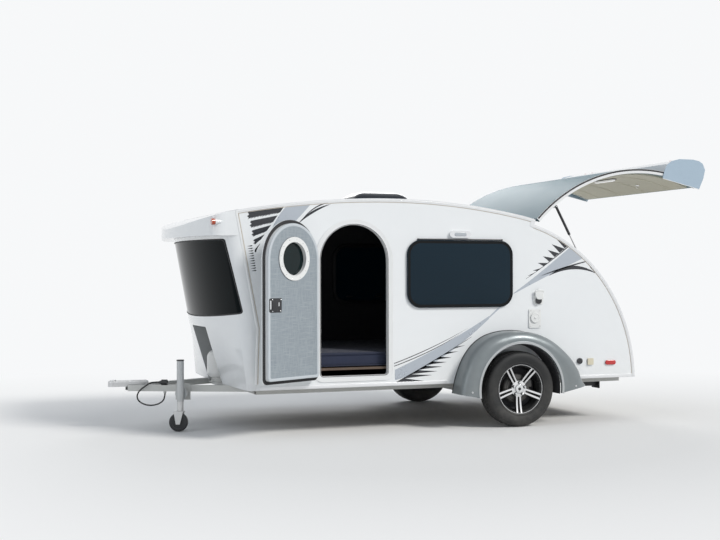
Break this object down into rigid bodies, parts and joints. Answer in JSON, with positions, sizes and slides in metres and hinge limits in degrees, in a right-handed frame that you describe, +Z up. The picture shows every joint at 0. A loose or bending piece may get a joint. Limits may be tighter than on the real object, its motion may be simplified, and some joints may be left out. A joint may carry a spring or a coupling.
{
  "type": "teardrop camping trailer",
  "caption": "Small white teardrop camping trailer on one axle, with side doors, a raised rear galley hatch, a front cap with a dark window and a swivel jack.",
  "frame": {"origin": "centre of the coupler's ball socket", "axes": "+X to the tail, +Y to the trailer's right side, +Z up"},
  "size_m": [5.1446, 2.4148, 2.2841],
  "materials": {
    "white_gelcoat": "gloss",
    "trim": "satin",
    "dark_glass": "gloss",
    "frame_paint": "satin",
    "floor_board": "matte",
    "zinc": "satin",
    "jack_paint": "satin",
    "black_plastic": "matte",
    "tyre": "matte",
    "alloy": "gloss",
    "cast": "matte",
    "fender_silver": "gloss",
    "hatch_skin": "gloss",
    "liner": "matte",
    "smoke": "gloss",
    "cabinet": "satin",
    "worktop": "satin",
    "mattress": "matte",
    "bottle": "gloss",
    "fitting": "satin",
    "chrome": "polished",
    "lamp_red": "gloss",
    "lamp_amber": "gloss",
    "cable_jacket": "matte"
  },
  "bodies": {
    "trailer_body": {"left_wall": "white_gelcoat", "right_wall": "white_gelcoat", "roof_panel": "white_gelcoat", "edge_trims": "trim", "front_cap": "white_gelcoat", "front_window": "dark_glass", "floor_panel": "floor_board", "tongue_rails": "frame_paint", "side_rails": "frame_paint", "cross_members": "frame_paint", "coupler": "zinc", "jack_bracket": "frame_paint", "axle_beam": "frame_paint", "fenders": "fender_silver", "door_frames": "trim", "window_frames": "black_plastic", "window_glass": "dark_glass", "hatch_hinge": "trim", "vent_base": "fitting", "galley_bulkhead": "cabinet", "bed_base": "cabinet", "mattress": "mattress", "galley_cabinets": "cabinet", "galley_top": "worktop", "gas_bottle": "bottle", "bottle_tray": "frame_paint", "side_fittings": "fitting", "porch_lamps": "chrome", "red_markers": "lamp_red", "cap_lamps": "lamp_amber", "stabiliser_mounts": "frame_paint", "tongue_cable": "cable_jacket", "cable_plug": "black_plastic"},
    "left_wheel": {"left_tyre": "tyre", "left_rim": "alloy", "left_hub": "cast"},
    "left_door_leaf": {"left_door": "trim", "left_door_glass": "dark_glass", "left_door_fittings": "black_plastic"},
    "left_strut_cylinder": {"left_strut_tube": "black_plastic"},
    "left_strut_piston": {"left_strut_rod": "chrome"},
    "left_corner_leg": {"left_stabiliser": "black_plastic"},
    "right_wheel": {"right_tyre": "tyre", "right_rim": "alloy", "right_hub": "cast"},
    "right_door_leaf": {"right_door": "trim", "right_door_glass": "dark_glass", "right_door_fittings": "black_plastic"},
    "right_strut_cylinder": {"right_strut_tube": "black_plastic"},
    "right_strut_piston": {"right_strut_rod": "chrome"},
    "right_corner_leg": {"right_stabiliser": "black_plastic"},
    "rear_hatch": {"hatch_panel": "hatch_skin", "hatch_liner": "liner", "tail_moulding": "white_gelcoat", "tail_lamps": "lamp_red"},
    "vent_dome": {"vent_lid": "smoke"},
    "jack_post": {"jack_tube": "jack_paint"},
    "jack_inner_leg": {"jack_leg": "zinc"},
    "jack_caster": {"jack_fork": "zinc"},
    "jack_roller": {"jack_wheel": "black_plastic"}
  },
  "joints": [
    {"name": "left_wheel_spin", "type": "hinge", "parent": "trailer_body", "child": "left_wheel", "pos_m": [3.145, -1.0245, -0.049], "axis": [0, 1, 0], "continuous": true},
    {"name": "right_wheel_spin", "type": "hinge", "parent": "trailer_body", "child": "right_wheel", "pos_m": [3.145, 1.0245, -0.049], "axis": [0, 1, 0], "continuous": true},
    {"name": "left_door_hinge", "type": "hinge", "parent": "trailer_body", "child": "left_door_leaf", "pos_m": [1.436, -0.952, 0.62], "axis": [0, 0, -1], "range_deg": [-151, 0]},
    {"name": "right_door_hinge", "type": "hinge", "parent": "trailer_body", "child": "right_door_leaf", "pos_m": [1.436, 0.952, 0.62], "axis": [0, 0, 1], "range_deg": [0, 151]},
    {"name": "hatch_hinge_turn", "type": "hinge", "parent": "trailer_body", "child": "rear_hatch", "pos_m": [3.38651, 0, 1.36093], "axis": [0, -1, 0], "range_deg": [-64, 0]},
    {"name": "left_strut_turn", "type": "hinge", "parent": "rear_hatch", "child": "left_strut_cylinder", "pos_m": [3.61, -0.875, 1.474], "axis": [0, -1, 0], "range_deg": [0, 90.64]},
    {"name": "left_strut_slide", "type": "slide", "parent": "left_strut_cylinder", "child": "left_strut_piston", "axis": [0.478, 0, -0.8783], "range_m": [-0.1859, 0]},
    {"name": "right_strut_turn", "type": "hinge", "parent": "rear_hatch", "child": "right_strut_cylinder", "pos_m": [3.61, 0.875, 1.474], "axis": [0, -1, 0], "range_deg": [0, 90.64]},
    {"name": "right_strut_slide", "type": "slide", "parent": "right_strut_cylinder", "child": "right_strut_piston", "axis": [0.478, 0, -0.8783], "range_m": [-0.1859, 0]},
    {"name": "vent_lid_hinge", "type": "hinge", "parent": "trailer_body", "child": "vent_dome", "pos_m": [2.536, 0, 1.52861], "axis": [0, 1, 0], "range_deg": [0, 60]},
    {"name": "jack_fold", "type": "hinge", "parent": "trailer_body", "child": "jack_post", "pos_m": [0.48, -0.34175, -0.06], "axis": [-0.4226, -0.9063, 0], "range_deg": [0, 90]},
    {"name": "jack_crank_slide", "type": "slide", "parent": "jack_post", "child": "jack_inner_leg", "axis": [0, 0, -1], "range_m": [-0.05, 0.12]},
    {"name": "jack_swivel", "type": "hinge", "parent": "jack_inner_leg", "child": "jack_caster", "pos_m": [0.48, -0.34175, -0.2], "axis": [0, 0, 1], "continuous": true},
    {"name": "jack_wheel_spin", "type": "hinge", "parent": "jack_caster", "child": "jack_roller", "pos_m": [0.46731, -0.33583, -0.285], "axis": [0.4226, 0.9063, 0], "continuous": true},
    {"name": "left_corner_leg_swing", "type": "hinge", "parent": "trailer_body", "child": "left_corner_leg", "pos_m": [3.89, -0.6, -0.077], "axis": [0, 1, 0], "range_deg": [0, 90]},
    {"name": "right_corner_leg_swing", "type": "hinge", "parent": "trailer_body", "child": "right_corner_leg", "pos_m": [3.89, 0.6, -0.077], "axis": [0, 1, 0], "range_deg": [0, 90]}
  ],
  "couplings": [
    {"joint": "left_strut_turn", "follows": "hatch_hinge_turn", "ratio": -1.4162},
    {"joint": "left_strut_slide", "follows": "hatch_hinge_turn", "m_per_rad": 0.16643},
    {"joint": "right_strut_turn", "follows": "hatch_hinge_turn", "ratio": -1.4162},
    {"joint": "right_strut_slide", "follows": "hatch_hinge_turn", "m_per_rad": 0.16643}
  ]
}
